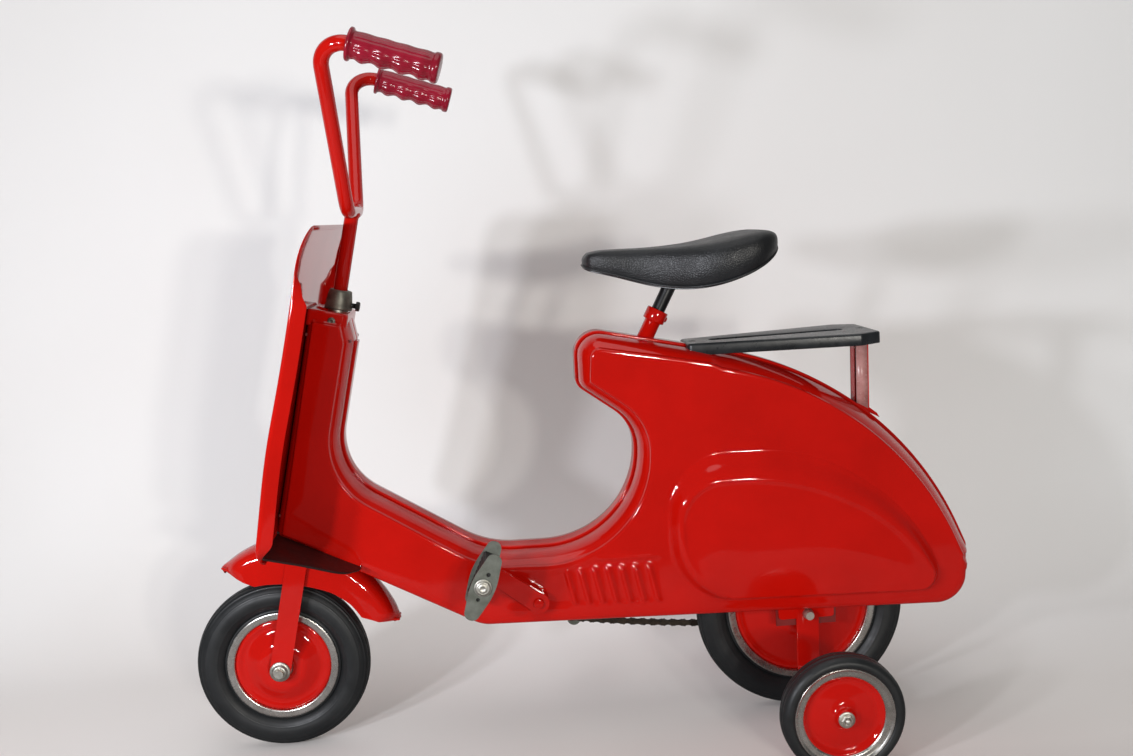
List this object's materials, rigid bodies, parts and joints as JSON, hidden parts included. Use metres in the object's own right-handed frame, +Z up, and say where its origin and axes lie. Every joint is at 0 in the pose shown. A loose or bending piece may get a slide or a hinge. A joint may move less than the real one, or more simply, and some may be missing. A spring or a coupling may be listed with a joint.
{
  "type": "pedal scooter",
  "caption": "Child's ride-on pedal scooter with a pressed body, leg shield, chain drive, stabiliser wheels, padded seat, carrier and raised handlebar.",
  "frame": {"origin": "middle of the bounding box on the floor the wheels stand on", "axes": "+X towards the rear, -X the front wheel, +Y the scooter's right side with the chain, +Z up"},
  "size_m": [0.9309, 0.406, 0.8056],
  "materials": {
    "red_enamel": "glossy enamel",
    "black_tyre": "satin rubber",
    "black_rubber": "matte rubber",
    "black_vinyl": "grained vinyl",
    "black_enamel": "satin enamel",
    "crimson_plastic": "gloss",
    "black_nylon": "matte",
    "cast_grey": "as cast",
    "plain_steel": "plain",
    "chrome_plate": "bright plate",
    "zinc_plate": "zinc plated"
  },
  "bodies": {
    "frame": {"body_left": "red_enamel", "body_right": "red_enamel", "floor_strip": "red_enamel", "top_strip": "red_enamel", "column_cap": "red_enamel", "body_screws": "zinc_plate", "head_tube": "red_enamel", "head_plates": "plain_steel", "head_bushes": "black_nylon", "leg_shield": "red_enamel", "shield_floor_left": "red_enamel", "shield_floor_right": "red_enamel", "shield_rivets": "red_enamel", "seat_socket": "red_enamel", "seat_clamp_bolt": "zinc_plate", "carrier": "black_enamel", "carrier_strut": "red_enamel", "axle_plates": "plain_steel", "rear_axle": "zinc_plate", "rear_axle_nuts": "zinc_plate", "stay_left": "red_enamel", "stay_right": "red_enamel", "stay_bolts": "zinc_plate", "stay_wheel_bolts": "zinc_plate", "crank_bushes": "zinc_plate", "chain": "plain_steel"},
    "rear_wheel": {"rear_rim": "chrome_plate", "rear_discs": "red_enamel", "rear_hub": "zinc_plate", "rear_tyre": "black_tyre", "rear_sprocket": "plain_steel"},
    "steering": {"fork": "red_enamel", "steerer_tube": "zinc_plate", "fender": "red_enamel", "front_axle": "zinc_plate", "front_axle_nuts": "zinc_plate", "stem_collar": "cast_grey", "collar_bolt": "zinc_plate"},
    "front_wheel": {"front_rim": "chrome_plate", "front_discs": "red_enamel", "front_hub": "zinc_plate", "front_tyre": "black_tyre"},
    "bars": {"handlebar": "red_enamel", "grip_left": "crimson_plastic", "grip_right": "crimson_plastic"},
    "crank": {"crank_axle": "zinc_plate", "crank_arms": "red_enamel", "chainring": "plain_steel", "pedal_pins": "zinc_plate"},
    "pedal_left": {"pedal_block_left": "black_rubber", "pedal_plates_left": "plain_steel"},
    "pedal_right": {"pedal_block_right": "black_rubber", "pedal_plates_right": "plain_steel"},
    "stabiliser_left": {"stay_disc_left": "red_enamel", "stay_tyre_left": "black_tyre"},
    "stabiliser_right": {"stay_disc_right": "red_enamel", "stay_tyre_right": "black_tyre"},
    "saddle": {"seat_post": "black_enamel", "seat_pan": "black_enamel", "seat_cover": "black_vinyl"}
  },
  "joints": [
    {"name": "steering", "type": "hinge", "parent": "frame", "child": "steering", "pos_m": [-0.36397, 0, 0.1016], "axis": [0.225, 0, 0.9744], "range_deg": [-40, 40]},
    {"name": "front_wheel_spin", "type": "hinge", "parent": "steering", "child": "front_wheel", "pos_m": [-0.36397, 0, 0.1016], "axis": [0, 1, 0], "continuous": true},
    {"name": "bar_height", "type": "slide", "parent": "steering", "child": "bars", "axis": [0.225, 0, 0.9744], "range_m": [-0.006, 0.04]},
    {"name": "rear_wheel_spin", "type": "hinge", "parent": "frame", "child": "rear_wheel", "pos_m": [0.26103, 0, 0.127], "axis": [0, 1, 0], "continuous": true},
    {"name": "crank_spin", "type": "hinge", "parent": "frame", "child": "crank", "pos_m": [-0.05867, 0, 0.172], "axis": [0, 1, 0], "continuous": true},
    {"name": "pedal_left_spin", "type": "hinge", "parent": "crank", "child": "pedal_left", "pos_m": [-0.11953, 0, 0.21786], "axis": [0, 1, 0], "continuous": true},
    {"name": "pedal_right_spin", "type": "hinge", "parent": "crank", "child": "pedal_right", "pos_m": [0.00219, 0, 0.12614], "axis": [0, 1, 0], "continuous": true},
    {"name": "stabiliser_left_spin", "type": "hinge", "parent": "frame", "child": "stabiliser_left", "pos_m": [0.25603, -0.184, 0.067], "axis": [0, 1, 0], "continuous": true},
    {"name": "stabiliser_right_spin", "type": "hinge", "parent": "frame", "child": "stabiliser_right", "pos_m": [0.25603, 0.184, 0.067], "axis": [0, 1, 0], "continuous": true},
    {"name": "seat_height", "type": "slide", "parent": "frame", "child": "saddle", "axis": [0.4695, 0, 0.8829], "range_m": [-0.015, 0.03]}
  ],
  "couplings": [
    {"joint": "crank_spin", "follows": "rear_wheel_spin", "ratio": 0.72727}
  ]
}
